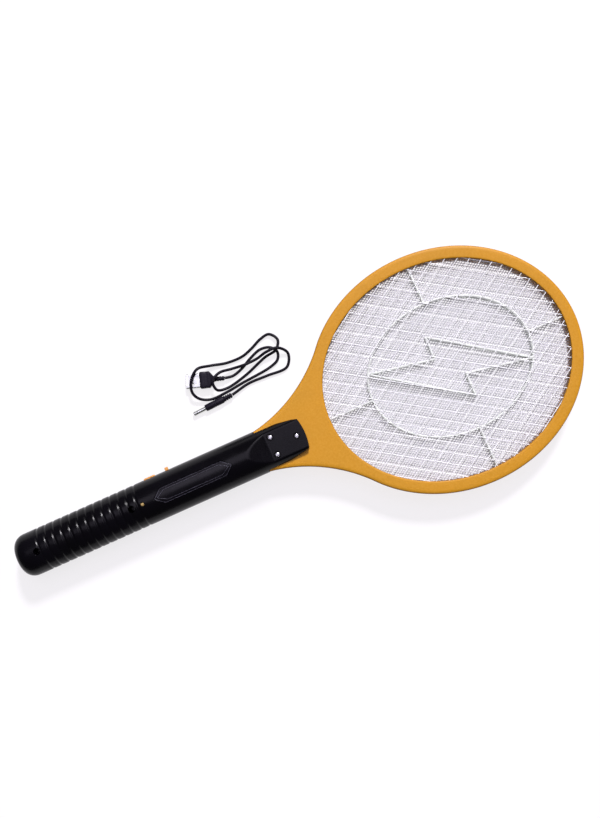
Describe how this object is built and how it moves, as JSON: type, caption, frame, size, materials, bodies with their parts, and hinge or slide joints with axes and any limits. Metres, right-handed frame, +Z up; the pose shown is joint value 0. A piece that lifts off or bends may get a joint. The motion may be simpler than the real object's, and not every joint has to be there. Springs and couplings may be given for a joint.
{
  "type": "electric fly swatter",
  "caption": "Racket-shaped rechargeable insect zapper with a round ribbed handle, an oval orange head frame around wire grids, and a loose charging lead.",
  "frame": {"origin": "middle of the swatter's length and width, on the surface that it lies on", "axes": "+X along the handle towards the head's far end, +Y across the head towards the controls' side, +Z up, with the screwed side up"},
  "size_m": [0.49, 0.196, 0.0359],
  "materials": {
    "handle_black": "satin black, faint grain",
    "label_black": "smooth black plate",
    "frame_orange": "satin golden orange, fine grain",
    "control_orange": "satin orange",
    "spacer_white": "white, slightly shiny",
    "outer_wire": "bright plated wire",
    "centre_wire": "fine bright wire",
    "screw_steel": "bright plated steel",
    "spring_steel": "drawn spring wire and strip",
    "switch_black": "moulded black",
    "lamp_clear": "water-clear lens",
    "board_green": "lacquered board",
    "coil_amber": "taped coil",
    "wire_red": "red insulation",
    "lead_black": "black insulation",
    "cell_green": "sleeved cell",
    "plug_black": "satin moulded black",
    "plug_metal": "bright plated shell",
    "contact_white": "moulded white",
    "cable_black": "smooth black jacket"
  },
  "bodies": {
    "swatter": {"handle_back_shell": "handle_black", "handle_front_shell": "handle_black", "label_plate": "label_black", "grip_screw_1": "screw_steel", "grip_screw_2": "screw_steel", "throat_screw_1": "screw_steel", "throat_screw_2": "screw_steel", "throat_screw_3": "screw_steel", "button_spring": "spring_steel", "push_switch": "switch_black", "slide_switch": "switch_black", "indicator_lamp": "lamp_clear", "circuit_board": "board_green", "transformer": "coil_amber", "storage_capacitor": "wire_red", "discharge_resistor": "coil_amber", "battery_cell": "cell_green", "battery_tab_rear": "spring_steel", "battery_tab_front": "spring_steel", "battery_lead_rear": "lead_black", "battery_lead_front": "wire_red", "charging_socket": "switch_black", "head_frame_back": "frame_orange", "head_frame_front": "frame_orange", "outer_grid_back": "outer_wire", "centre_grid": "centre_wire", "outer_grid_front": "outer_wire", "grid_spacer_back": "spacer_white", "grid_spacer_front": "spacer_white", "centre_grid_lead": "wire_red", "outer_grid_lead": "lead_black"},
    "push_button": {"push_button": "control_orange"},
    "slide_knob": {"slide_knob": "control_orange"},
    "charging_lead": {"usb_plug_body": "plug_black", "usb_plug_shell": "plug_metal", "usb_contact_block": "contact_white", "round_plug_body": "plug_black", "round_plug_barrel": "plug_metal", "lead_cable": "cable_black"}
  },
  "joints": [
    {"name": "push_button_press", "type": "slide", "parent": "swatter", "child": "push_button", "axis": [0, -1, 0], "range_m": [0, 0.0015], "stiffness_N_per_m": 400, "springref_m": -0.002, "deforming": ["button_spring"]},
    {"name": "slide_knob_travel", "type": "slide", "parent": "swatter", "child": "slide_knob", "axis": [1, 0, 0], "range_m": [0, 0.0035]},
    {"name": "charging_lead_lift", "type": "slide", "parent": "swatter", "child": "charging_lead", "axis": [0, 0, 1], "range_m": [0, 0.1]}
  ]
}
